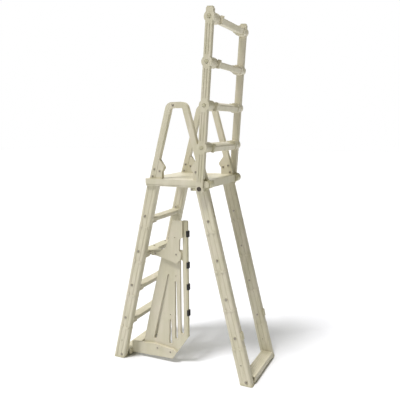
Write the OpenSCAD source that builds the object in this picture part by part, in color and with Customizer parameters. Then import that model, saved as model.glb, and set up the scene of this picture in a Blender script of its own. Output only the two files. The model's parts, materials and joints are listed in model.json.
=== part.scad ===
// A-frame pool ladder with a raised swing-up step section.
// Axes: +X out over the garden side, -X into the pool, +Z up.
// The origin lies on the ground, midway between the four feet.
// "left" is the -Y side and "right" the +Y side, as seen by a climber who faces the pool.

/* [Ladder] */
// Height of the standing deck above the ground
deck_height = 1347; // [1200:1:1400]
// Distance between steps, measured along a leg
step_pitch = 262; // [250:1:266]
// Lean of each leg away from upright, in degrees
leg_lean = 13.8; // [13:0.1:14.6]
// Distance between the pool feet and the outer feet, centre to centre
foot_spread = 1002; // [980:1:1020]
// Width across the outside faces of the legs
frame_width = 500; // [490:1:502]

/* [Legs] */
// Depth of a leg, along the spread of the ladder
leg_depth = 82; // [76:1:86]
// Width of a leg
leg_width = 50; // [46:1:54]
// Wall of every hollow moulding
wall = 4.5; // [3:0.5:6]
// Height of the lowest step screw above the foot, along the leg
first_screw = 328; // [320:1:336]

/* [Steps] */
// Front-to-back depth of a step
step_depth = 76; // [70:1:80]
// Thickness of a pool step
step_thick = 30; // [28:1:34]
// Thickness of a swing step
swing_step_thick = 39; // [36:1:40]

/* [Deck] */
// Length of the deck, from the pool edge to the outer edge
deck_length = 474; // [468:1:480]
// Width of the deck
deck_width = 528; // [524:1:530]
// Offset of the deck towards the outer side
deck_x = 7; // [4:1:10]

/* [Handrails] */
// Height of a handrail above the deck
handrail_height = 502; // [450:1:550]
// Outside length of a handrail at its foot
handrail_base = 424; // [416:1:430]
// Depth of the handrail tube, seen from the side
handrail_tube = 39; // [36:1:44]

/* [Swing section] */
// Lean of the raised section past upright, in degrees
raised_lean = 4.2; // [3:0.1:5]
// Depth of a swing rail
rail_depth = 47; // [44:1:50]
// Thickness of a swing rail
rail_thick = 30; // [28:1:32]
// Length of the rail beyond its last step
rail_over = 53; // [45:1:60]
// Radius of the round socket at each end of a swing step
socket_r = 34; // [32:1:35]

/* [Barrier] */
// Height of the swim-through barrier
barrier_height = 1052; // [1040:1:1060]
// Thickness of one barrier panel
barrier_thick = 18; // [14:1:18]
// Distance of the barrier from the middle of the ladder, to the left
barrier_offset = 148; // [140:1:152]

/* [Hidden] */
$fn = 48;
left = -1;
right = 1;
pool = -1;
outer = 1;
step_count = 4;

// Legs
foot_x = foot_spread / 2;
leg_y = (frame_width - leg_width) / 2;
inner_y = frame_width / 2 - leg_width;
leg_tan = tan(leg_lean);
seam_drop = 73;
anchor_drop = 112;
anchor_r = 4.5;
step_setback = 8;
step_top_drop = 17;
collar_length = 40;
collar_height = 40;
flange = 5;
nut_height = 6;
boot_length = first_screw - seam_drop;
lip_height = 8;
lip_proud = 1.5;
lip_gap = 0.8;
tab_x = 22;
tab_width = 17;
tab_proud = 4.5;
tab_rise = 7;
flute_r = 7;
flute_depth = 2.5;
spigot_length = 60;
fit_gap = 0.3;
leg_top = deck_height - 9;
pad_height = 14;
base_rung_z = 30;
base_rung_height = 42;
pool_rung_inset = 26;
outer_rung_outset = 1;

// Deck
deck_band = 36;
deck_lip = 13;
deck_skin = 6;
deck_bottom = deck_height - deck_band - deck_lip;
deck_outer_x = deck_x + deck_length / 2;

// Handrails
handrail_x = 12;
handrail_y = 230;
handrail_thick = 34;
handrail_lean = 15.6;
handrail_round = 50;
stub_height = 80;

// Swing section, in its own frame: z runs along the rail from the ring at its foot
ring_x = 195;
ring_z = deck_height - 50;
ring_r = 26;
rail_y = deck_width / 2 + 4;
rail_length = step_count * step_pitch + rail_over;
pivot_x = 37.8;
pivot_z = 31;
ear_r = 22;
ear_thick = 16;
ear_face = 3;
pin_head_r = 12;
pin_head_h = 4;
pin_r = 8;
bush_r = 11;
running_gap = 0.05;
boss_r = socket_r + 1;
groove_x = 9;
groove_width = 6;
groove_depth = 3;
tread_offset = 6;
tread_half = 184;
collar_y = 198;
collar_thick = 14;
lock_r = 7;
lock_head_r = 14;
lock_recess = 15;
rest_pad_z = 308;
plate_outer_y = deck_width / 2 - wall - 1.5;
bracket_bolt_x = ring_x - 70;
bracket_bolt_z = deck_bottom - 10;

// Barrier
barrier_edge_x = 28;
bar_x = -6;
clamp_reach = 158;
clamp_screw_y = [-17, 146];
arm_x = pool_rung_inset - foot_x + 40.3;
barrier_screw_at = [[-110, 80], [-218, 90], [-50, 812], [-218, 803]];
drain_holes = [[-59, 931], [-64, 650], [-112, 356]];
barrier_skin_y = -barrier_offset;

resin = [0.80, 0.78, 0.69];
resin_shade = [0.74, 0.72, 0.62];
dark = [0.12, 0.12, 0.12];
fixing = [0.45, 0.42, 0.36];

// ---------- shared shapes ----------

// Rectangle with true round corners, centred
module round_rect(w, d, r) {
  square([w - 2 * r, d], center = true);
  square([w, d - 2 * r], center = true);
  for (x = [-1, 1], y = [-1, 1])
    translate([x * (w / 2 - r), y * (d / 2 - r)])
      circle(r = r);
}

// Cylinder along Y between the distances a and b from the middle, on one side
module side_cylinder(side, r, a, b) {
  translate([0, side * (a + b) / 2, 0])
    rotate([90, 0, 0])
      cylinder(r = r, h = b - a, center = true);
}

// Outline in the X-Z plane, extruded along Y between y0 and y1
module plate_xz(y0, y1) {
  translate([0, y1, 0])
    rotate([90, 0, 0])
      linear_extrude(height = y1 - y0)
        children();
}

// The same outline, between the distances a and b on one side
module side_plate(side, a, b) {
  plate_xz(min(side * a, side * b), max(side * a, side * b))
    children();
}

// Screw along Y: a shank with a domed head at the far end of its length
module side_screw(side, shank_r, a, b, head_r, head_h) {
  side_cylinder(side, shank_r, a, b);
  side_cylinder(side, head_r, b, b + head_h);
}

// ---------- legs ----------

// Places children in a leg's own frame, where z runs up its centre line
module leg_frame(end, side) {
  translate([end * foot_x, side * leg_y, 0])
    rotate([0, -end * leg_lean, 0])
      children();
}

function screw_at(i) = first_screw + i * step_pitch;
function seam_at(i) = boot_length + i * step_pitch;

// Leg cross-section, with two shallow flutes down each broad face
module leg_section(grow = 0) {
  difference() {
    round_rect(leg_depth + 2 * grow, leg_width + 2 * grow, 10 + grow);
    for (x = [-1, 1], y = [-1, 1])
      translate([x * leg_depth / 5, y * (leg_width / 2 + grow + flute_r - flute_depth)])
        circle(r = flute_r);
  }
}

module leg_bore() {
  round_rect(leg_depth - 2 * wall, leg_width - 2 * wall, 6);
}

module spigot_section() {
  difference() {
    round_rect(leg_depth - 2 * wall - 2 * fit_gap, leg_width - 2 * wall - 2 * fit_gap, 6);
    round_rect(leg_depth - 4 * wall, leg_width - 4 * wall, 4);
  }
}

// One hollow length of leg from z0 to z1, open at both ends
module leg_tube(z0, z1) {
  translate([0, 0, z0])
    linear_extrude(height = z1 - z0)
      difference() {
        leg_section();
        leg_bore();
      }
}

// Low lip, raised tabs and spigot that carry the next length of leg
module leg_joint(z) {
  translate([0, 0, z - lip_height])
    linear_extrude(height = lip_height)
      difference() {
        round_rect(leg_depth + 2 * lip_proud, leg_width + 2 * lip_proud, 11);
        leg_bore();
      }
  difference() {
    for (x = [-tab_x, tab_x])
      translate([x, 0, z + (tab_rise - lip_height) / 2])
        cube([tab_width, leg_width + 2 * tab_proud, lip_height + tab_rise], center = true);
    translate([0, 0, z - lip_height - 1])
      linear_extrude(height = lip_height + 2)
        leg_bore();
    translate([0, 0, z])
      linear_extrude(height = tab_rise + 1)
        round_rect(leg_depth + 2 * lip_gap, leg_width + 2 * lip_gap, 10);
  }
  translate([0, 0, z - wall])
    linear_extrude(height = spigot_length)
      spigot_section();
  translate([0, 0, z - wall])
    linear_extrude(height = wall)
      difference() {
        leg_section();
        round_rect(leg_depth - 4 * wall, leg_width - 4 * wall, 4);
      }
}

// Pool steps sit a little behind the middle of their legs
function screw_shift(end) = end == pool ? -step_setback : 0;

// Hole through both walls of a leg
module leg_hole(x, z, r) {
  translate([x, 0, z])
    rotate([90, 0, 0])
      cylinder(r = r, h = 2 * leg_width, center = true);
}

// Space taken by the foot pads and the ground
module ground_cut() {
  translate([-foot_spread, -frame_width, -100])
    cube([2 * foot_spread, 2 * frame_width, 100 + pad_height]);
}

module deck_cut() {
  translate([-foot_spread, -frame_width, leg_top])
    cube([2 * foot_spread, 2 * frame_width, 400]);
}

module leg_boot(end, side) {
  color(resin)
    difference() {
      leg_frame(end, side)
        difference() {
          union() {
            translate([0, 0, -20])
              linear_extrude(height = boot_length + 20)
                difference() {
                  leg_section(2);
                  leg_bore();
                }
            leg_joint(boot_length);
          }
          leg_hole(0, boot_length - anchor_drop, anchor_r);
        }
      ground_cut();
      rung_frame(end)
        side_cylinder(side, 3.4, inner_y - 6, frame_width / 2 + 6);
    }
}

module leg_tubes(end, side) {
  color(resin)
    leg_frame(end, side)
      for (i = [0 : step_count - 2])
        difference() {
          union() {
            leg_tube(seam_at(i), seam_at(i + 1));
            leg_joint(seam_at(i + 1));
          }
          leg_hole(screw_shift(end), screw_at(i), 3.4);
        }
}

module leg_top_length(end, side) {
  color(resin)
    difference() {
      leg_frame(end, side)
        difference() {
          leg_tube(seam_at(step_count - 1), 1.2 * deck_height);
          leg_hole(screw_shift(end), screw_at(step_count - 1), 3.4);
          if (end == outer)
            for (i = [0 : 3])
              translate([leg_depth / 2, 0, seam_at(step_count - 1) + 100 + 30 * i])
                cube([7, 14, 12], center = true);
        }
      deck_cut();
    }
}

module foot_pads() {
  color(resin_shade)
    for (end = [pool, outer], side = [left, right])
      intersection() {
        leg_frame(end, side)
          translate([0, 0, -40])
            linear_extrude(height = 90)
              round_rect(leg_depth + 6, leg_width + 6, 13);
        translate([-foot_spread, -frame_width, 0])
          cube([2 * foot_spread, 2 * frame_width, pad_height]);
      }
}

// Screws through one pair of legs: broad heads outside, nuts inside
module leg_screws(end, nut_y) {
  color(fixing)
    for (side = [left, right], i = [0 : step_count - 1])
      translate([end * foot_x, 0, 0])
        rotate([0, -end * leg_lean, 0])
          translate([screw_shift(end), 0, screw_at(i)]) {
            side_screw(side, 3, nut_y - nut_height, frame_width / 2, 8, 3.5);
            side_plate(side, nut_y - nut_height, nut_y)
              circle(r = 6.5, $fn = 6);
          }
}

// ---------- steps and rungs ----------

// Hollow step section with a grooved tread on its +Z face
module step_section(depth, thick) {
  difference() {
    round_rect(depth, thick, 7);
    round_rect(depth - 2 * wall, thick - 2 * wall, 4);
    for (i = [-2 : 2])
      translate([i * depth / 6.5, thick / 2 + 1.5])
        circle(r = 3);
  }
}

// Step along Y between two end plates that take the leg screws
module step_body(depth, thick, half_length) {
  plate_xz(-half_length, half_length)
    step_section(depth, thick);
  for (side = [left, right])
    difference() {
      side_plate(side, half_length - 26, half_length - 8)
        round_rect(depth - 2 * wall + 1, thick - 2 * wall + 1, 4);
      side_cylinder(side, 3.2, half_length - 40, half_length + 1);
    }
}

// Places children at the screw of pool step number i, counted from the ground
module step_frame(i) {
  translate([-foot_x, 0, 0])
    rotate([0, leg_lean, 0])
      translate([-step_setback, 0, screw_at(i)])
        rotate([0, -leg_lean, 0])
          children();
}

function step_x(i) = -foot_x + screw_at(i) * sin(leg_lean) - step_setback * cos(leg_lean);
function step_top(i) = screw_at(i) * cos(leg_lean) + step_setback * sin(leg_lean) - step_top_drop;

// Collar and screw flange at one end of a pool step
module step_end(side) {
  side_plate(side, inner_y - collar_length, inner_y - fit_gap / 2)
    translate([0, -step_top_drop - collar_height / 2 + 2])
      difference() {
        round_rect(step_depth + 4, collar_height, 8);
        translate([0, 3])
          round_rect(step_depth - 4, step_thick - 4, 4);
      }
  difference() {
    side_plate(side, inner_y - flange, inner_y - fit_gap / 2) {
      translate([0, -step_top_drop - collar_height / 2 + 2])
        round_rect(step_depth - 2, collar_height - 2, 6);
      translate([-17, -step_top_drop - 10])
        square([34, step_top_drop + 10]);
      circle(r = 17);
    }
    side_cylinder(side, 3.4, inner_y - 2 * flange, inner_y + 1);
  }
}

// Pool step; number 1 is the highest
module pool_step(number) {
  color(resin)
    step_frame(step_count - number) {
      plate_xz(-inner_y + flange, inner_y - flange)
        translate([0, -step_top_drop - step_thick / 2])
          step_section(step_depth, step_thick);
      step_end(left);
      step_end(right);
    }
}

// Places children on the middle line of the base rung at one end
module rung_frame(end) {
  translate([end == pool ? pool_rung_inset - foot_x : foot_x + outer_rung_outset, 0, base_rung_z])
    children();
}

module pool_base_rung() {
  color(resin)
    rung_frame(pool)
      step_body(80, base_rung_height, inner_y - 3);
}

module outer_base_rung() {
  color(resin)
    rung_frame(outer)
      step_body(88, base_rung_height, inner_y - 3);
}

module base_rung_screws() {
  color(fixing)
    for (end = [pool, outer], side = [left, right])
      rung_frame(end)
        side_screw(side, 3, inner_y - 28, frame_width / 2 + 2, 8, 3.5);
}

// ---------- deck ----------

module deck_outline(inset) {
  translate([deck_x, 0])
    round_rect(deck_length - 2 * inset, deck_width - 2 * inset, 16 - inset);
}

// Sleeve under the deck that holds the head of one leg
module leg_sleeve(end, side) {
  leg_frame(end, side)
    translate([0, 0, deck_height - 120])
      linear_extrude(height = 240)
        difference() {
          round_rect(leg_depth + 2 * wall, leg_width + 2 * wall, 12);
          round_rect(leg_depth + 2 * fit_gap, leg_width + 2 * fit_gap, 10);
        }
}

// Corner that is left free for a hinge bracket
module bracket_space(side) {
  translate([ring_x + 6, side > 0 ? inner_y + 11 : -deck_width, deck_bottom - 20])
    cube([200, deck_width - inner_y - 11, 200]);
}

module deck() {
  color(resin)
    difference() {
      union() {
        difference() {
          union() {
            translate([0, 0, deck_height - deck_band])
              linear_extrude(height = deck_band)
                deck_outline(0);
            translate([0, 0, deck_bottom])
              linear_extrude(height = deck_lip + 1)
                deck_outline(3);
          }
          translate([0, 0, deck_bottom - 1])
            linear_extrude(height = deck_band + deck_lip + 1 - deck_skin)
              deck_outline(wall + 1);
        }
        intersection() {
          for (end = [pool, outer], side = [left, right])
            leg_sleeve(end, side);
          translate([0, 0, deck_bottom + 2])
            linear_extrude(height = deck_band + deck_lip - 4)
              deck_outline(2 * wall);
        }
        for (y = [-90, 0, 90])
          translate([deck_x - deck_length / 2 + 2, y - 2, deck_bottom + 8])
            cube([deck_length - 4, 4, deck_band + deck_lip - 10]);
      }
      for (side = [left, right]) {
        bracket_space(side);
        translate([ring_x, 0, ring_z])
          side_cylinder(side, 24, frame_width / 2, deck_width);
        side_plate(side, frame_width / 2 + 0.1, plate_outer_y + 0.5)
          translate([ring_x - 83, deck_bottom - 1])
            square([100, deck_band + deck_lip - deck_skin]);
      }
      for (side = [left, right])
        translate([deck_x - deck_length / 2 + 20, side * 198 - 2.5, deck_height - 3])
          cube([deck_length - 70, 5, 10]);
      for (i = [-4 : 4])
        translate([deck_x + i * 26, 0, deck_height + 2])
          rotate([90, 0, 0])
            cylinder(r = 3, h = 380, center = true);
    }
}

// ---------- handrails ----------

function side_x(inset, z) = handrail_base / 2 - inset / cos(handrail_lean) - z * tan(handrail_lean);
function corner_x(r, inset) = side_x(inset, handrail_height - inset) - r * tan(45 - handrail_lean / 2);

// Outline of a handrail, drawn in by an inset, with round upper corners
function handrail_points(inset, low) =
  let (r = handrail_round - inset, top = handrail_height - inset, c = corner_x(r, inset))
  concat(
    [[side_x(inset, low), low]],
    [for (a = [handrail_lean : 12.4 : 90]) [c + r * cos(a), top - r + r * sin(a)]],
    [for (a = [90 : -12.4 : handrail_lean - 1]) [-c - r * cos(a), top - r + r * sin(a)]],
    [[-side_x(inset, low), low]]
  );

module handrail_band(outside, inside, low) {
  difference() {
    polygon(handrail_points(outside, low));
    polygon(handrail_points(inside, low - 10));
  }
}

// Screw that closes the top of a handrail, on its middle plane
module handrail_top() {
  translate([-24, 0, handrail_height - handrail_tube / 2])
    children();
}

module handrail(side) {
  color(resin)
    translate([handrail_x, side * handrail_y, deck_height])
      difference() {
        plate_xz(-handrail_thick / 2, handrail_thick / 2)
          handrail_band(0, handrail_tube, 0);
        plate_xz(-handrail_thick / 2 + wall, handrail_thick / 2 - wall)
          handrail_band(wall, handrail_tube - wall, -5);
        for (end = [pool, outer], z = [16, 64])
          translate([end * side_x(handrail_tube / 2, z), 0, z])
            rotate([90, 0, 0])
              cylinder(r = 3.2, h = 60, center = true);
        handrail_top()
          rotate([90, 0, 0])
            cylinder(r = 3.2, h = 60, center = true);
      }
}

// Posts on the deck that fill the feet of the handrails
module handrail_stubs() {
  color(resin_shade)
    for (side = [left, right])
      translate([handrail_x, side * handrail_y, deck_height])
        for (end = [pool, outer])
          difference() {
            plate_xz(-handrail_thick / 2 + wall + fit_gap, handrail_thick / 2 - wall - fit_gap)
              scale([end, 1])
                polygon([
                  [side_x(wall + fit_gap, 0), 0],
                  [side_x(wall + fit_gap, stub_height), stub_height],
                  [side_x(handrail_tube - wall - fit_gap, stub_height), stub_height],
                  [side_x(handrail_tube - wall - fit_gap, 0), 0]
                ]);
            for (z = [16, 64])
              translate([end * side_x(handrail_tube / 2, z), 0, z])
                rotate([90, 0, 0])
                  cylinder(r = 3.2, h = 60, center = true);
          }
}

// Webs in the angle between each handrail foot and the deck
module handrail_gussets() {
  inner = handrail_tube + fit_gap;
  color(resin)
    for (side = [left, right])
      translate([handrail_x, side * handrail_y, deck_height])
        for (end = [pool, outer])
          difference() {
            plate_xz(-15, 15)
              scale([end, 1])
                polygon([
                  [side_x(inner, 0), 0],
                  [side_x(inner, 129), 129],
                  [100, 80], [103, 66], [117, 46], [118, 0]
                ]);
            translate([end * 134, 0, 52])
              rotate([90, 0, 0])
                cylinder(r = 3.2, h = 60, center = true);
          }
}

module handrail_bolts() {
  color(fixing)
    for (side = [left, right])
      translate([handrail_x, side * handrail_y, deck_height])
        handrail_top()
          for (face = [left, right])
            side_screw(face, 3, 0, handrail_thick / 2, 6.5, 3);
  color(fixing)
    for (side = [left, right], end = [pool, outer])
      translate([handrail_x, side * handrail_y, deck_height]) {
        for (z = [16, 64])
          translate([end * side_x(handrail_tube / 2, z), 0, z])
            for (face = [left, right])
              side_screw(face, 3, 0, handrail_thick / 2, 6.5, 3);
        translate([end * 134, 0, 52])
          for (face = [left, right])
            side_screw(face, 3, 0, 15, 6.5, 3);
      }
}

// ---------- hinge ----------

// Places children in the frame of the raised swing section
module swing_frame() {
  translate([ring_x, 0, ring_z])
    rotate([0, raised_lean, 0])
      children();
}

// Places children on the hinge pin's middle line
module pivot_frame() {
  swing_frame()
    translate([pivot_x, 0, pivot_z])
      children();
}

// Rounded corner block with a flat plate that runs along the leg behind the deck skirt
module hinge_bracket(side) {
  color(resin_shade)
    difference() {
      union() {
        pivot_frame()
          side_cylinder(side, 30, inner_y + 12, deck_width / 2 + 2);
        side_plate(side, inner_y + 12, deck_width / 2 + 2)
          translate([ring_x + 7, deck_bottom + 1])
            square([30, deck_band + deck_lip - 1]);
        side_plate(side, frame_width / 2 + 0.7, plate_outer_y)
          translate([ring_x - 81, deck_bottom - 20])
            square([110, 60]);
        translate([ring_x, 0, ring_z])
          side_cylinder(side, 22, frame_width / 2 + 0.7, deck_width / 2 + 2);
      }
      leg_frame(outer, side)
        translate([-leg_depth / 2 - 0.4, -leg_width / 2 - 0.4, deck_height - 160])
          cube([leg_depth + 0.8, leg_width + 0.8, 320]);
      translate([ring_x - 20, side > 0 ? inner_y : -frame_width / 2 - 1.2, deck_height])
        cube([120, leg_width + 1.2, 40]);
      pivot_frame() {
        side_cylinder(side, pin_r + running_gap, inner_y, deck_width);
        side_cylinder(side, pin_head_r + 0.5, inner_y, inner_y + 12.8 + pin_head_h);
      }
      translate([ring_x, 0, ring_z])
        side_cylinder(side, lock_r + 1, frame_width / 2 - 10, deck_width);
      translate([bracket_bolt_x, 0, bracket_bolt_z])
        side_cylinder(side, 4.2, frame_width / 2 - 10, deck_width);
    }
}

// Bolt with a nut through the free end of each hinge bracket
module hinge_bracket_bolts() {
  color(fixing)
    for (side = [left, right])
      translate([bracket_bolt_x, 0, bracket_bolt_z]) {
        side_screw(side, 4, frame_width / 2 - nut_height, plate_outer_y, 6, 4);
        side_plate(side, frame_width / 2 - nut_height, frame_width / 2 + 0.7)
          circle(r = 7, $fn = 6);
      }
}

module hinge_pins() {
  color(fixing)
    for (side = [left, right])
      pivot_frame() {
        side_cylinder(side, pin_head_r, inner_y + 12.5, inner_y + 12.5 + pin_head_h);
        side_cylinder(side, pin_r, inner_y + 12.5, rail_y + ear_thick - ear_face - 0.5);
      }
}

// Strips on the outer legs where the lowered section comes to rest
module rest_pads() {
  color(resin_shade)
    for (side = [left, right])
      leg_frame(outer, side)
        translate([leg_depth / 2 + 0.1, -leg_width / 2 + 8, rest_pad_z])
          cube([8, leg_width - 16, 50]);
}

// ---------- swing section ----------

function step_along(i) = i * step_pitch;

module rail_outline() {
  translate([-rail_depth / 2, 0])
    square([rail_depth, rail_length - 8]);
  translate([-rail_depth / 2 + 8, 0])
    square([rail_depth - 16, rail_length]);
  for (x = [-1, 1])
    translate([x * (rail_depth / 2 - 8), rail_length - 8])
      circle(r = 8);
  circle(r = ring_r);
  for (i = [1 : step_count])
    translate([0, step_along(i)])
      circle(r = boss_r);
}

module swing_rail(side) {
  color(resin)
    swing_frame()
      difference() {
        union() {
          side_plate(side, rail_y, rail_y + rail_thick)
            rail_outline();
          side_plate(side, rail_y, rail_y + ear_thick) {
            translate([pivot_x, pivot_z])
              circle(r = ear_r);
            translate([0, pivot_z - ear_r])
              square([pivot_x, 2 * ear_r]);
          }
        }
        side_plate(side, rail_y + wall, rail_y + rail_thick - wall)
          translate([-rail_depth / 2 + wall, ear_r + 34])
            square([rail_depth - 2 * wall, rail_length]);
        for (i = [0 : step_count - 1], x = [-groove_x, groove_x])
          side_plate(side, rail_y + rail_thick - groove_depth, rail_y + rail_thick + 1)
            translate([x - groove_width / 2, step_along(i) + boss_r + 8])
              square([groove_width, step_pitch - 2 * boss_r - 16]);
        for (i = [1 : step_count])
          translate([0, 0, step_along(i)]) {
            side_cylinder(side, 4.2, rail_y - 1, rail_y + rail_thick + 1);
            side_cylinder(side, 13, rail_y + rail_thick - 4, rail_y + rail_thick + 1);
          }
        translate([pivot_x, 0, pivot_z])
          side_cylinder(side, bush_r + 0.02, rail_y - 1, rail_y + ear_thick - ear_face);
        side_cylinder(side, lock_r + running_gap, rail_y - 1, rail_y + rail_thick + 1);
        side_cylinder(side, lock_head_r + 0.5, rail_y + lock_recess, rail_y + rail_thick + 1);
      }
}

module rail_caps() {
  color(resin_shade)
    swing_frame()
      for (side = [left, right]) {
        side_plate(side, rail_y + wall + fit_gap, rail_y + rail_thick - wall - fit_gap)
          translate([-rail_depth / 2 + wall + fit_gap, rail_length - 30])
            square([rail_depth - 2 * wall - 2 * fit_gap, 30]);
        side_plate(side, rail_y + 2, rail_y + rail_thick - 2)
          translate([0, rail_length + 3])
            round_rect(rail_depth - 8, 6, 2.5);
      }
}

module hinge_bushes() {
  color(dark)
    for (side = [left, right])
      pivot_frame()
        difference() {
          side_cylinder(side, bush_r, rail_y, rail_y + ear_thick - ear_face - 0.1);
          side_cylinder(side, pin_r + running_gap, rail_y - 1, rail_y + ear_thick + 1);
        }
}

// Places children at swing step number i, level with its tread
module tread_frame(i) {
  swing_frame()
    translate([0, 0, step_along(i)])
      rotate([0, leg_lean, 0])
        children();
}

module swing_step(i) {
  color(resin)
    tread_frame(i)
      translate([tread_offset, 0, 0])
        rotate([180, 0, 0])
          plate_xz(-tread_half, tread_half)
            step_section(step_depth, swing_step_thick);
}

module step_socket(side) {
  difference() {
    union() {
      side_cylinder(side, socket_r, collar_y - 2, rail_y);
      translate([tread_offset, 0, 0])
        side_plate(side, collar_y - collar_thick, collar_y)
          round_rect(step_depth + 8, swing_step_thick + 9, 9);
      translate([tread_offset, 0, 0])
        side_plate(side, tread_half - 22, tread_half + 1)
          round_rect(step_depth - 2 * wall - 0.6, swing_step_thick - 2 * wall - 0.6, 4);
      translate([tread_offset + step_depth / 2 - 14, 0, 0])
        side_plate(side, tread_half - 14, tread_half + 1)
          translate([0, swing_step_thick / 2 + 6])
            square([22, 12], center = true);
    }
    side_cylinder(side, 4.2, collar_y + 6, rail_y + 1);
  }
}

module step_sockets(side) {
  color(resin)
    for (i = [1 : step_count])
      tread_frame(i)
        step_socket(side);
}

module step_bolts() {
  color(resin_shade)
    for (side = [left, right], i = [1 : step_count])
      swing_frame()
        translate([0, 0, step_along(i)]) {
          side_cylinder(side, 4, collar_y + 8, rail_y + rail_thick - 3);
          side_cylinder(side, 11, rail_y + rail_thick - 3.8, rail_y + rail_thick + 2);
        }
}

// Push-in bolt in the ring of a rail, drawn back to let the section swing
module lock_bolt(side) {
  color(dark)
    swing_frame() {
      side_cylinder(side, lock_r, rail_y + 1, rail_y + rail_thick - 3);
      side_cylinder(side, lock_head_r, rail_y + rail_thick - 3, rail_y + rail_thick + 3);
    }
}

// ---------- barrier ----------

// Slot with round ends, from point a with width w0 to point b with width w1
module tapered_slot(a, b, w0, w1) {
  run = b - a;
  across = [run[1], -run[0]] / norm(run);
  polygon([
    a - across * w0 / 2, b - across * w1 / 2, b + across * w1 / 2, a + across * w0 / 2
  ]);
  translate(a)
    circle(r = w0 / 2);
  translate(b)
    circle(r = w1 / 2);
}

// Holes along Y through the barrier, at points in the X-Z plane
module barrier_holes(points, r) {
  for (p = points)
    translate([p[0], barrier_skin_y, p[1]])
      rotate([90, 0, 0])
        cylinder(r = r, h = 6 * barrier_thick, center = true);
}

// Arm in front of the blade, from the pool base rung to the blade's foot
module barrier_arm() {
  color(resin)
    difference() {
      plate_xz(barrier_skin_y - barrier_thick, barrier_skin_y)
        polygon([
          [arm_x, 20], [-92, 34], [-60, 88], [-84, 102], [-250, 120], [-300, 116], [arm_x, 104]
        ]);
      barrier_holes(barrier_screw_at, 2.8);
    }
}

// Tall slotted blade with a bar along the wall side
module barrier_lower() {
  color(resin)
    difference() {
      plate_xz(barrier_skin_y, barrier_skin_y + barrier_thick)
        difference() {
          polygon([
            [-350, 62], [-74, 66], [barrier_edge_x, 212], [barrier_edge_x, barrier_height],
            [bar_x, barrier_height], [bar_x, 840], [-131, 840], [-172, 800], [-257, 472], [-320, 203]
          ]);
          tapered_slot([-18, 240], [-18, 760], 27, 23);
          tapered_slot([-66, 190], [-66, 606], 22, 12);
          tapered_slot([-114, 146], [-114, 316], 26, 11);
          tapered_slot([-243, 164], [-124, 650], 22, 12);
        }
      barrier_holes(barrier_screw_at, 2.8);
      barrier_holes(drain_holes, 4);
    }
}

// Upper panel: stands in front of the blade and reaches back to the second step
module barrier_upper() {
  color(resin)
    difference() {
      plate_xz(barrier_skin_y - barrier_thick, barrier_skin_y)
        difference() {
          polygon([
            [-78, barrier_height - 2], [bar_x + 7, barrier_height], [bar_x + 7, 936], [bar_x - 16, 922],
            [bar_x - 20, 838], [bar_x - 4, 822], [-16, 782], [-46, 748],
            [-245, 796], [-245, 812], [-190, 816], [-135, 850], [-104, 930]
          ]);
        }
      barrier_holes(barrier_screw_at, 2.8);
      barrier_holes(drain_holes, 4);
    }
}

// Channel over the wall-side edge of the blade
module barrier_edge_guard() {
  color(resin_shade)
    difference() {
      translate([barrier_edge_x - 12, barrier_skin_y - 2, 216])
        cube([14, barrier_thick + 4, barrier_height - 218]);
      translate([barrier_edge_x - 13, barrier_skin_y - 0.2, 210])
        cube([13.2, barrier_thick + 0.4, barrier_height]);
    }
}

// Black clips that keep the barrier's edge off the pool wall
module barrier_bumpers() {
  color(dark)
    for (z = [391, 581, 738, 960])
      translate([0, barrier_skin_y - 4, z - 22])
        difference() {
          translate([barrier_edge_x - 6, 0, 0])
            cube([16, barrier_thick + 8, 44]);
          translate([barrier_edge_x - 7, 1.8, -1])
            cube([9.5, barrier_thick + 4.4, 46]);
        }
}

// Bracket from the upper panel over the second step, and the clamp at the base rung
module barrier_clamps() {
  i = step_count - 2;
  near_y = barrier_skin_y + fit_gap;
  color(resin_shade) {
    difference() {
      union() {
        translate([0, 0, step_top(i) + 0.1])
          linear_extrude(height = flange)
            polygon([
              [step_x(i) - 34, near_y], [-178, near_y], [-190, near_y + 60],
              [step_x(i) + 46, near_y + 90], [step_x(i) + 40, clamp_reach], [step_x(i) - 34, clamp_reach]
            ]);
        translate([step_x(i) + 44, near_y, step_top(i) - 30])
          cube([52, flange, 31]);
      }
      for (y = clamp_screw_y)
        translate([step_x(i) - 8, y, step_top(i) - 1])
          cylinder(r = 3.4, h = 3 * flange);
      barrier_holes(barrier_screw_at, 2.8);
    }
    translate([arm_x, near_y, 24])
      difference() {
        cube([52, 46, 24]);
        translate([6, 6, -1])
          cube([60, 50, 30]);
      }
  }
}

module barrier_screws() {
  i = step_count - 2;
  color(fixing) {
    for (y = clamp_screw_y)
      translate([step_x(i) - 8, y, step_top(i) + 0.1]) {
        cylinder(r = 3, h = flange);
        translate([0, 0, flange])
          cylinder(r = 7, h = 3.5);
      }
    for (p = barrier_screw_at)
      translate([p[0], barrier_skin_y - barrier_thick - 3, p[1]])
        rotate([-90, 0, 0]) {
          cylinder(r = 6, h = 3);
          cylinder(r = 2.5, h = barrier_thick + 3 + flange);
        }
  }
}

leg_boot(pool, left);  // pool_left_boot
leg_tubes(pool, left);  // pool_left_tubes
leg_top_length(pool, left);  // pool_left_top
leg_boot(pool, right);  // pool_right_boot
leg_tubes(pool, right);  // pool_right_tubes
leg_top_length(pool, right);  // pool_right_top
leg_boot(outer, left);  // outer_left_boot
leg_tubes(outer, left);  // outer_left_tubes
leg_top_length(outer, left);  // outer_left_top
leg_boot(outer, right);  // outer_right_boot
leg_tubes(outer, right);  // outer_right_tubes
leg_top_length(outer, right);  // outer_right_top
foot_pads();
pool_step(1);  // pool_step_1
pool_step(2);  // pool_step_2
pool_step(3);  // pool_step_3
pool_step(4);  // pool_step_4
pool_base_rung();
outer_base_rung();
base_rung_screws();
leg_screws(pool, inner_y - flange);  // pool_leg_screws
leg_screws(outer, inner_y);  // outer_leg_screws
deck();
hinge_bracket(left);  // hinge_bracket_left
hinge_bracket(right);  // hinge_bracket_right
hinge_bracket_bolts();
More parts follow.
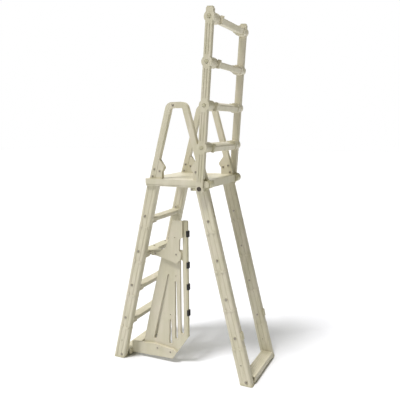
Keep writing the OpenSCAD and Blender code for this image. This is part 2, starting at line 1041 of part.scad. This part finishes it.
hinge_pins();
rest_pads();
handrail(left);  // handrail_left
handrail(right);  // handrail_right
handrail_stubs();
handrail_gussets();
handrail_bolts();
barrier_arm();
barrier_lower();
barrier_upper();
barrier_edge_guard();
barrier_bumpers();
barrier_clamps();
barrier_screws();
swing_rail(left);  // swing_rail_left
swing_rail(right);  // swing_rail_right
rail_caps();
hinge_bushes();
swing_step(1);  // swing_step_1
swing_step(2);  // swing_step_2
swing_step(3);  // swing_step_3
swing_step(4);  // swing_step_4
step_sockets(left);  // step_sockets_left
step_sockets(right);  // step_sockets_right
step_bolts();
lock_bolt(left);  // lock_bolt_left
lock_bolt(right);  // lock_bolt_right
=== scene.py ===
import json
import math

import bmesh
import bpy
from mathutils import Matrix, Vector


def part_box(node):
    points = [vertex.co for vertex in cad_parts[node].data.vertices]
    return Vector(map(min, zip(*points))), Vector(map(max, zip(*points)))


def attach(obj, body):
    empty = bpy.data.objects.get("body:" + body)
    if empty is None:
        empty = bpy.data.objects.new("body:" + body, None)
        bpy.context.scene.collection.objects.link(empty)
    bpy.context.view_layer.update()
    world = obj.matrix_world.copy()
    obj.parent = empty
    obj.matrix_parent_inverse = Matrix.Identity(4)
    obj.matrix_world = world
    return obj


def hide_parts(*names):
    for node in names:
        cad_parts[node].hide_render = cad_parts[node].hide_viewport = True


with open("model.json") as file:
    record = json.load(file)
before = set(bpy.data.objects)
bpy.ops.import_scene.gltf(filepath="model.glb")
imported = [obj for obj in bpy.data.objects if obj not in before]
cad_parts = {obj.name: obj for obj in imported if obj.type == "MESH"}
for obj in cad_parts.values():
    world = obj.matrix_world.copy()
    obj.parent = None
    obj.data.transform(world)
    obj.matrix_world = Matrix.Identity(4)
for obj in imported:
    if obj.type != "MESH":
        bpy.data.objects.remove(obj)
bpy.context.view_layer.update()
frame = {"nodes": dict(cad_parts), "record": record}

MM = 0.001
WELD = 0.02 * MM  # points closer than this are one point

# ---------- places read from the frame ----------

NODES = frame["nodes"]
BODIES = frame["record"]["behaviour"]["bodies"]
BODY_OF = {node: body for body, members in BODIES.items() for node in members}
SLOT_OF = {part["node"]: part["material_slot"] for part in frame["record"]["subparts"]}
DECK_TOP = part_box("deck")[1].z


# ---------- node material helpers ----------

class Graph:
    """A material's node tree, with short calls for the nodes used here."""

    def __init__(self, name):
        self.material = bpy.data.materials.new(name)
        self.material.use_nodes = True
        self.tree = self.material.node_tree
        self.shader = self.tree.nodes["Principled BSDF"]
        self.place = self.node("ShaderNodeTexCoord").outputs["Object"]

    def node(self, kind, **settings):
        made = self.tree.nodes.new(kind)
        for key, value in settings.items():
            setattr(made, key, value)
        return made

    def link(self, source, target):
        self.tree.links.new(source, target)

    def stretched(self, scale):
        mapping = self.node("ShaderNodeMapping")
        mapping.inputs["Scale"].default_value = scale
        self.link(self.place, mapping.inputs["Vector"])
        return mapping.outputs["Vector"]

    def noise(self, scale, detail=3.0, roughness=0.55, vector=None):
        noise = self.node("ShaderNodeTexNoise")
        noise.inputs["Scale"].default_value = scale
        noise.inputs["Detail"].default_value = detail
        noise.inputs["Roughness"].default_value = roughness
        self.link(vector or self.place, noise.inputs["Vector"])
        return noise.outputs["Fac"]

    def voronoi(self, scale):
        cells = self.node("ShaderNodeTexVoronoi")
        cells.inputs["Scale"].default_value = scale
        self.link(self.place, cells.inputs["Vector"])
        return cells.outputs["Distance"]

    def remap(self, source, low, high, to_low=0.0, to_high=1.0):
        remap = self.node("ShaderNodeMapRange")
        limits = (("From Min", low), ("From Max", high), ("To Min", to_low), ("To Max", to_high))
        for key, value in limits:
            remap.inputs[key].default_value = value
        self.link(source, remap.inputs["Value"])
        return remap.outputs["Result"]

    def mix(self, factor, a, b):
        mix = self.node("ShaderNodeMix", data_type="RGBA")
        self.link(factor, mix.inputs["Factor"])
        for socket, value in ((mix.inputs[6], a), (mix.inputs[7], b)):
            if isinstance(value, tuple):
                socket.default_value = (*value, 1.0)
            else:
                self.link(value, socket)
        return mix.outputs[2]

    def scaled(self, source, factor):
        node = self.node("ShaderNodeMath", operation="MULTIPLY")
        self.link(source, node.inputs[0])
        node.inputs[1].default_value = factor
        return node.outputs["Value"]

    def bump(self, height, strength, distance, below=None):
        bump = self.node("ShaderNodeBump")
        bump.inputs["Strength"].default_value = strength
        bump.inputs["Distance"].default_value = distance
        self.link(height, bump.inputs["Height"])
        if below is not None:
            self.link(below, bump.inputs["Normal"])
        return bump.outputs["Normal"]

    def edge_wear(self):
        """Light along worn convex edges, from the mesh's own pointiness."""
        pointiness = self.node("ShaderNodeNewGeometry").outputs["Pointiness"]
        return self.remap(pointiness, 0.505, 0.56)

    def set(self, **values):
        names = {
            "color": "Base Color", "roughness": "Roughness", "normal": "Normal", "metallic": "Metallic",
            "coat": "Coat Weight", "coat_roughness": "Coat Roughness",
        }
        for key, value in values.items():
            socket = self.shader.inputs[names[key]]
            if isinstance(value, (int, float)):
                socket.default_value = value
            else:
                self.link(value, socket)
        return self.material


# ---------- materials ----------

def resin(name, base, shade, warm):
    """Blow-moulded resin: pigment streaks, chalky worn edges, a fine orange-peel skin and light scuffs."""
    graph = Graph(name)
    cloud = graph.remap(graph.noise(7.0, 4.0), 0.35, 0.65)
    upright = graph.stretched((1.0, 1.0, 0.12))
    streak = graph.remap(graph.noise(14.0, 5.0, 0.6, upright), 0.38, 0.62)
    colour = graph.mix(cloud, base, warm)
    colour = graph.mix(graph.scaled(streak, 0.55), colour, shade)
    speck = graph.remap(graph.voronoi(260.0), 0.0, 0.16, 0.25, 0.0)
    colour = graph.mix(speck, colour, shade)
    light = tuple(value * 1.14 + 0.02 for value in base)
    colour = graph.mix(graph.scaled(graph.edge_wear(), 0.35), colour, light)
    skin = graph.bump(graph.noise(420.0, 2.0), 0.16, 0.0006)
    scuff = graph.noise(90.0, 6.0, 0.7, graph.stretched((1.0, 1.0, 0.3)))
    normal = graph.bump(scuff, 0.10, 0.0008, skin)
    roughness = graph.remap(graph.noise(24.0, 5.0), 0.3, 0.7, 0.42, 0.60)
    return graph.set(color=colour, roughness=roughness, normal=normal, coat=0.10, coat_roughness=0.35)


def rubber(name):
    """Black moulded rubber with a dusty, pebbled skin."""
    graph = Graph(name)
    dust = graph.remap(graph.noise(40.0, 6.0, 0.7), 0.45, 0.75)
    colour = graph.mix(dust, (0.010, 0.010, 0.011), (0.040, 0.038, 0.036))
    normal = graph.bump(graph.voronoi(520.0), 0.35, 0.0006)
    roughness = graph.remap(graph.noise(60.0), 0.3, 0.7, 0.62, 0.85)
    return graph.set(color=colour, roughness=roughness, normal=normal)


def dark_plastic(name):
    """Dark brown glass-filled nylon, with a faint directional grain."""
    graph = Graph(name)
    grain = graph.remap(graph.noise(160.0, 5.0, 0.6, graph.stretched((1.0, 0.2, 1.0))), 0.4, 0.6)
    colour = graph.mix(grain, (0.050, 0.040, 0.030), (0.095, 0.075, 0.055))
    normal = graph.bump(graph.noise(500.0), 0.25, 0.0005)
    roughness = graph.remap(graph.noise(50.0), 0.3, 0.7, 0.38, 0.58)
    return graph.set(color=colour, roughness=roughness, normal=normal)


def steel(name):
    """Dull stainless steel with turned marks and brown tea stains."""
    graph = Graph(name)
    stain = graph.remap(graph.noise(120.0, 6.0, 0.7), 0.50, 0.72)
    colour = graph.mix(stain, (0.36, 0.33, 0.29), (0.17, 0.12, 0.075))
    normal = graph.bump(graph.noise(900.0, 2.0, 0.5, graph.stretched((1.0, 0.1, 1.0))), 0.2, 0.0003)
    roughness = graph.remap(graph.noise(80.0), 0.3, 0.7, 0.32, 0.55)
    return graph.set(color=colour, roughness=roughness, normal=normal, metallic=0.85)


FINISHES = {
    "resin": resin(
        "beige_resin", base=(0.575, 0.545, 0.415), shade=(0.44, 0.415, 0.27), warm=(0.61, 0.56, 0.455)
    ),
    "resin_fitting": resin(
        "fitting_resin", base=(0.50, 0.475, 0.33), shade=(0.38, 0.36, 0.215), warm=(0.53, 0.49, 0.355)
    ),
    "dark_plastic": dark_plastic("dark_nylon"),
    "rubber": rubber("black_rubber"),
    "screw": steel("dull_steel"),
}


# ---------- mesh helpers ----------

def add_object(name, mesh, body, slot):
    piece = bpy.data.objects.new(name, mesh)
    bpy.context.scene.collection.objects.link(piece)
    mesh.materials.clear()
    mesh.materials.append(FINISHES[slot])
    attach(piece, body)
    return piece


def smooth_by_angle(mesh_data, angle):
    """Smooth faces, with sharp edges where two faces meet at more than the angle."""
    for edge in mesh_data.edges:
        if len(edge.link_faces) == 2:
            edge.smooth = edge.calc_face_angle(0.0) < angle
    for face in mesh_data.faces:
        face.smooth = True


def mesh_from(name, mesh_data, angle=math.radians(40)):
    bmesh.ops.recalc_face_normals(mesh_data, faces=mesh_data.faces)
    smooth_by_angle(mesh_data, angle)
    mesh = bpy.data.meshes.new(name)
    mesh_data.to_mesh(mesh)
    mesh_data.free()
    return mesh


def cad_copy(node):
    """The node's own solid as an editable mesh, with its flat faces whole again."""
    mesh_data = bmesh.new()
    mesh_data.from_mesh(NODES[node].data)
    bmesh.ops.remove_doubles(mesh_data, verts=mesh_data.verts, dist=WELD)
    bmesh.ops.dissolve_limit(
        mesh_data, angle_limit=math.radians(0.6), verts=mesh_data.verts, edges=mesh_data.edges
    )
    return mesh_data


def bevel(piece, width):
    """Rounds every edge whose faces meet at more than 36 degrees."""
    modifier = piece.modifiers.new("rounded_edges", "BEVEL")
    modifier.width = width
    modifier.segments = 2
    modifier.limit_method = "ANGLE"
    modifier.angle_limit = math.radians(36)
    modifier.use_clamp_overlap = True
    weighted = piece.modifiers.new("weighted_normals", "WEIGHTED_NORMAL")
    weighted.keep_sharp = True
    return piece


def rounded(node, width):
    """The CAD node again, with the softened edges that a moulding has."""
    mesh = mesh_from(node + "_moulded", cad_copy(node))
    piece = add_object(node + "_moulded", mesh, BODY_OF[node], SLOT_OF[node])
    bevel(piece, width)
    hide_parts(node)
    return piece


def lathe(mesh_data, place, profile, segments=24, flats=()):
    """Turns a profile of (radius, height) points about the local Z axis of a placement.

    Rings whose index is in flats are hexagonal, so that a key can turn them."""
    rings = []
    for index, (radius, height) in enumerate(profile):
        turn = []
        for step in range(segments):
            angle = 2 * math.pi * step / segments
            if index in flats:
                reach = radius * math.cos(math.pi / 6) / math.cos(angle % (math.pi / 3) - math.pi / 6)
            else:
                reach = radius
            point = place @ Vector((reach * math.cos(angle), reach * math.sin(angle), height))
            turn.append(mesh_data.verts.new(point))
        rings.append(turn)
    for low, high in zip(rings, rings[1:]):
        for step in range(segments):
            after = (step + 1) % segments
            mesh_data.faces.new((low[step], low[after], high[after], high[step]))
    mesh_data.faces.new(rings[0][::-1])
    mesh_data.faces.new(rings[-1])


def close_loops(mesh_data, loops):
    """Faces between each loop of points and the next one, and from the last back to the first."""
    for low, high in zip(loops, loops[1:] + loops[:1]):
        for step in range(len(low)):
            after = (step + 1) % len(low)
            mesh_data.faces.new((low[step], low[after], high[after], high[step]))


def ring(mesh_data, place, inner, outer, height):
    """A flat round collar about the local Z axis, with softened rims."""
    segments = 32
    soft = min(0.0006, height * 0.4)
    section = [
        (inner, 0.0), (inner, height - soft), (inner + soft, height), (outer - soft, height),
        (outer, height - soft), (outer, 0.0),
    ]
    angles = [2 * math.pi * step / segments for step in range(segments)]
    close_loops(mesh_data, [
        [
            mesh_data.verts.new(place @ Vector((radius * math.cos(angle), radius * math.sin(angle), level)))
            for angle in angles
        ]
        for radius, level in section
    ])


def block(mesh_data, low, high, place=Matrix.Identity(4)):
    """A box between two corners, in a placement."""
    corners = [
        mesh_data.verts.new(place @ Vector((x, y, z)))
        for x in (low[0], high[0]) for y in (low[1], high[1]) for z in (low[2], high[2])
    ]
    for face in ((0, 1, 3, 2), (4, 6, 7, 5), (0, 4, 5, 1), (2, 3, 7, 6), (0, 2, 6, 4), (1, 5, 7, 3)):
        mesh_data.faces.new([corners[index] for index in face])


def aimed(point, direction):
    """Placement at a point whose Z axis points along a direction."""
    return Matrix.Translation(point) @ Vector(direction).to_track_quat("Z", "Y").to_matrix().to_4x4()


def solids(node):
    """The corner points of each separate solid of a CAD node."""
    mesh_data = bmesh.new()
    mesh_data.from_mesh(NODES[node].data)
    bmesh.ops.remove_doubles(mesh_data, verts=mesh_data.verts, dist=WELD)
    seen, groups = set(), []
    for start in mesh_data.verts:
        if start in seen:
            continue
        seen.add(start)
        queue, group = [start], []
        while queue:
            vertex = queue.pop()
            group.append(NODES[node].matrix_world @ vertex.co)
            for edge in vertex.link_edges:
                other = edge.other_vert(vertex)
                if other not in seen:
                    seen.add(other)
                    queue.append(other)
        groups.append(group)
    mesh_data.free()
    return groups


def span(points, axis):
    """Lowest and highest value of the points along an axis."""
    values = [point[axis] for point in points]
    return min(values), max(values)


def head_places(node):
    """Placement and radius of each round screw head in a node of screws, found from the solids themselves.

    A screw that is low in Z stands upright, and every other screw lies along Y."""
    upright_height, smallest_head, fewest_rim_points, flatness = 0.009, 0.0055, 16, 0.00005
    found = []
    for points in solids(node):
        spans = [span(points, axis) for axis in range(3)]
        axis = 2 if spans[2][1] - spans[2][0] < upright_height else 1
        across = [other for other in range(3) if other != axis]
        middle = [sum(ends) / 2 for ends in spans]
        centre_across = [middle[other] for other in across]
        for sign, end in ((-1, spans[axis][0]), (1, spans[axis][1])):
            rim = [point for point in points if abs(point[axis] - end) < flatness]
            radius = max(math.dist([point[other] for other in across], centre_across) for point in rim)
            if radius < smallest_head or len(rim) < fewest_rim_points:
                continue
            centre = list(middle)
            centre[axis] = end
            direction = [0, 0, 0]
            direction[axis] = sign
            found.append((aimed(centre, direction), radius))
    return found


# ---------- camera, floor and light ----------

CAMERA_PLACE = Vector((1.514, -3.041, 1.679))
CAMERA_AZIMUTH = math.radians(25.57)
CAMERA_ELEVATION = math.radians(8.44)
CAMERA_ROLL = math.radians(-0.495)
CAMERA_LENS = 43.46  # mm, on a sensor 36 mm wide


def make_camera():
    """The camera at the photograph's place and angle."""
    camera = bpy.data.objects.new("camera", bpy.data.cameras.new("camera"))
    bpy.context.scene.collection.objects.link(camera)
    camera.data.sensor_width = 36
    camera.data.lens = CAMERA_LENS
    back = Vector((
        math.sin(CAMERA_AZIMUTH) * math.cos(CAMERA_ELEVATION),
        -math.cos(CAMERA_AZIMUTH) * math.cos(CAMERA_ELEVATION),
        math.sin(CAMERA_ELEVATION),
    ))
    turn = back.to_track_quat("Z", "Y").to_matrix().to_4x4()
    camera.matrix_world = Matrix.Translation(CAMERA_PLACE) @ turn @ Matrix.Rotation(CAMERA_ROLL, 4, "Z")
    bpy.context.scene.camera = camera


def sun_light(name, direction, power, softness, colour):
    light = bpy.data.lights.new(name, "SUN")
    light.angle = softness
    light.energy = power
    light.color = colour
    lamp = bpy.data.objects.new(name, light)
    lamp.rotation_euler = Vector(direction).to_track_quat("-Z", "Y").to_euler()
    bpy.context.scene.collection.objects.link(lamp)


def make_stage():
    """A pale floor, the studio round it and one soft key light."""
    mesh = bpy.data.meshes.new("floor")
    half = 30
    corners = [(-half, -half, 0), (half, -half, 0), (half, half, 0), (-half, half, 0)]
    mesh.from_pydata(corners, [], [(0, 1, 2, 3)])
    floor = bpy.data.objects.new("floor", mesh)
    bpy.context.scene.collection.objects.link(floor)
    graph = Graph("pale_floor")
    mottle = graph.remap(graph.noise(3.0, 4.0), 0.3, 0.7)
    colour = graph.mix(mottle, (0.83, 0.845, 0.885), (0.87, 0.885, 0.92))
    mesh.materials.append(graph.set(color=colour, roughness=0.8))

    make_world()
    sun_light("key", (0.42, 0.95, -2.5), 2.65, math.radians(14), (1.0, 0.98, 0.98))


def make_world():
    """Studio seen as plain white. Its light is dimmer behind the camera, and dark and warm on the +X side."""
    white = (1.0, 1.0, 1.0, 1.0)
    dim = (0.46, 0.46, 0.45, 1.0)
    dark_olive = (0.12, 0.10, 0.02, 1.0)
    world = bpy.data.worlds.new("studio")
    world.use_nodes = True
    tree = world.node_tree

    def mixed(factor, a, b):
        mix = tree.nodes.new("ShaderNodeMix")
        mix.data_type = "RGBA"
        tree.links.new(factor, mix.inputs["Factor"])
        if isinstance(a, tuple):
            mix.inputs[6].default_value = a
        else:
            tree.links.new(a, mix.inputs[6])
        mix.inputs[7].default_value = b
        return mix.outputs[2]

    split = tree.nodes.new("ShaderNodeSeparateXYZ")
    tree.links.new(tree.nodes.new("ShaderNodeTexCoord").outputs["Generated"], split.inputs["Vector"])
    colour = white
    for axis, full_at, side_colour in (("Y", -0.7, dim), ("X", 0.5, dark_olive)):
        ramp = tree.nodes.new("ShaderNodeMapRange")
        ramp.inputs["From Min"].default_value = 0.0
        ramp.inputs["From Max"].default_value = full_at
        tree.links.new(split.outputs[axis], ramp.inputs["Value"])
        colour = mixed(ramp.outputs["Result"], colour, side_colour)
    camera_ray = tree.nodes.new("ShaderNodeLightPath").outputs["Is Camera Ray"]
    background = tree.nodes["Background"]
    background.inputs["Strength"].default_value = 1.0
    tree.links.new(mixed(camera_ray, colour, white), background.inputs["Color"])
    bpy.context.scene.world = world


make_camera()
make_stage()
bpy.context.scene.view_settings.view_transform = "Standard"

# ---------- pieces ----------

SCREWS = (
    "base_rung_screws", "pool_leg_screws", "outer_leg_screws", "hinge_bracket_bolts", "handrail_bolts",
    "barrier_screws", "step_bolts",
)
LOCK_BOLTS = ((-1, "lock_bolt_left"), (1, "lock_bolt_right"))
SMALL = set(SCREWS) | {"hinge_pins", "hinge_bushes"} | {node for side, node in LOCK_BOLTS}
SMALL_ROUNDING = 0.0008
ROUNDING = 0.0022
TRIM_ROUNDING = 0.0004


def screw_domes(node):
    """Domed crown with a hexagonal key socket on the flange of every screw head."""
    mesh_data = bmesh.new()
    for place, radius in head_places(node):
        crown = radius * 0.72
        lathe(mesh_data, place, [
            (crown, -0.0002), (crown, 0.0007), (crown * 0.94, 0.0014), (crown * 0.80, 0.0020),
            (crown * 0.60, 0.0024), (crown * 0.50, 0.0023), (crown * 0.46, 0.0008), (crown * 0.30, 0.0006),
        ], flats=(5, 6))
    name = node + "_domes"
    return add_object(name, mesh_from(name, mesh_data, math.radians(28)), BODY_OF[node], SLOT_OF[node])


def screw_rings(node, gap, width, height, sink):
    """Moulded ring in the resin round every screw head, which starts sink below the head's end."""
    mesh_data = bmesh.new()
    for place, radius in head_places(node):
        ring(mesh_data, place @ Matrix.Translation((0, 0, -sink)), radius + gap, radius + gap + width, height)
    name = node + "_rings"
    return add_object(name, mesh_from(name, mesh_data), BODY_OF[node], "resin_fitting")


def deck_studs():
    """Eight rows of nineteen low anti-slip studs on the deck, round its middle."""
    mesh_data = bmesh.new()
    row_step, column_step = 0.013, 0.019
    stud = [(0.0040, -0.0005), (0.0040, 0.0004), (0.0033, 0.0010), (0.0018, 0.0013)]
    middle = (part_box("deck")[0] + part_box("deck")[1]) / 2
    for row in range(-7, 8, 2):
        for column in range(-9, 10):
            place = Matrix.Translation((middle.x + row * row_step, column * column_step, DECK_TOP))
            lathe(mesh_data, place, stud, segments=10)
    return add_object("deck_studs", mesh_from("deck_studs", mesh_data), BODY_OF["deck"], "resin")


def bumper_ribs():
    """Five grip ribs across the +X face and the near face of every bumper on the barrier."""
    count, half_height, inset, sunk = 5, 0.0015, 0.002, 0.0005
    side_proud, front_proud = 0.0016, 0.0012
    mesh_data = bmesh.new()
    for points in solids("barrier_bumpers"):
        low, high = zip(*(span(points, axis) for axis in range(3)))
        for index in range(count):
            level = low[2] + (index + 0.5) * (high[2] - low[2]) / count
            block(mesh_data, (high[0] - sunk, low[1] + inset, level - half_height),
                  (high[0] + side_proud, high[1] - inset, level + half_height))
            block(mesh_data, (low[0] + inset, low[1] - front_proud, level - half_height),
                  (high[0] - inset, low[1] + sunk, level + half_height))
    name = "barrier_bumper_ribs"
    piece = add_object(name, mesh_from(name, mesh_data), BODY_OF["barrier_bumpers"], "rubber")
    return bevel(piece, TRIM_ROUNDING)


def lock_place(side, node):
    """Placement on the outside end of a lock bolt's head, and the head's radius."""
    points = solids(node)[0]
    low, high = zip(*(span(points, axis) for axis in range(3)))
    outside = high[1] if side > 0 else low[1]
    place = aimed(((low[0] + high[0]) / 2, outside, (low[2] + high[2]) / 2), (0, side, 0))
    return place, (high[0] - low[0]) / 2


def lock_grip(side, node):
    """Rim and finger bar on the head of a lock bolt."""
    place, radius = lock_place(side, node)
    bar_half_length, bar_half_width = radius - 0.0035, 0.0016
    mesh_data = bmesh.new()
    ring(mesh_data, place, radius - 0.0028, radius - 0.0002, 0.0022)
    block(mesh_data, (-bar_half_length, -bar_half_width, -0.0003),
          (bar_half_length, bar_half_width, 0.0026), place)
    name = node + "_grip"
    piece = add_object(name, mesh_from(name, mesh_data), BODY_OF[node], SLOT_OF[node])
    return bevel(piece, TRIM_ROUNDING)


def lock_collars():
    """Raised rim on the outer face of each rail round the lock bolt's recess."""
    mesh_data = bmesh.new()
    for side, node in LOCK_BOLTS:
        place, radius = lock_place(side, node)
        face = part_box("swing_rail_left")[0].y if side < 0 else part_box("swing_rail_right")[1].y
        level = side * (face - place.translation.y) - 0.0005
        on_face = place @ Matrix.Translation((0, 0, level))
        ring(mesh_data, on_face, radius + 0.0018, radius + 0.0055, 0.0025)
    return add_object("lock_collars", mesh_from("lock_collars", mesh_data), "swing_section", "resin")


# Slots of the barrier's blade as they are in the CAD, in mm: middles of the lower and upper round end (x, z),
# then the widths there.
SLOTS = (
    ((-18, 240), (-18, 760), 27, 23),
    ((-66, 190), (-66, 606), 22, 12),
    ((-114, 146), (-114, 316), 26, 11),
    ((-243, 164), (-124, 650), 22, 12),
)
# Section of the lip round a slot, in mm: distance out from the slot's edge, and rise above the face.
SLOT_LIP = ((0.2, -0.5), (0.2, 1.0), (0.8, 1.5), (2.8, 1.5), (3.4, 1.0), (3.4, -0.5))


def slot_outline(low, high, low_width, high_width, grow):
    """Tapered slot with round ends, drawn outwards by grow, as points in the X-Z plane, in metres."""
    steps = 12
    points = []
    lean = math.atan2(high[0] - low[0], high[1] - low[1])
    for centre, width, start in ((low, low_width, math.pi), (high, high_width, 0.0)):
        radius = width / 2 + grow
        for step in range(steps + 1):
            angle = start + math.pi * step / steps - lean
            x = centre[0] + radius * math.cos(angle)
            z = centre[1] + radius * math.sin(angle)
            points.append((x * MM, z * MM))
    return points


def slot_rims():
    """Raised lip round each slot on the near face of the barrier's blade."""
    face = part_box("barrier_lower")[0].y
    mesh_data = bmesh.new()
    for slot in SLOTS:
        close_loops(mesh_data, [
            [mesh_data.verts.new((x, face - rise * MM, z)) for x, z in slot_outline(*slot, grow)]
            for grow, rise in SLOT_LIP
        ])
    name = "barrier_slot_rims"
    return add_object(name, mesh_from(name, mesh_data), BODY_OF["barrier_lower"], "resin")


for node in NODES:
    rounded(node, SMALL_ROUNDING if node in SMALL else ROUNDING)

for node in SCREWS:
    screw_domes(node)
for node in ("pool_leg_screws", "outer_leg_screws"):
    screw_rings(node, gap=0.0006, width=0.0032, height=0.0020, sink=0.0036)
for node in ("base_rung_screws", "handrail_bolts"):
    screw_rings(node, gap=0.0005, width=0.0022, height=0.0018, sink=0.0031)

deck_studs()
bumper_ribs()
slot_rims()
lock_collars()
for side, node in LOCK_BOLTS:
    lock_grip(side, node)

bpy.context.view_layer.update()
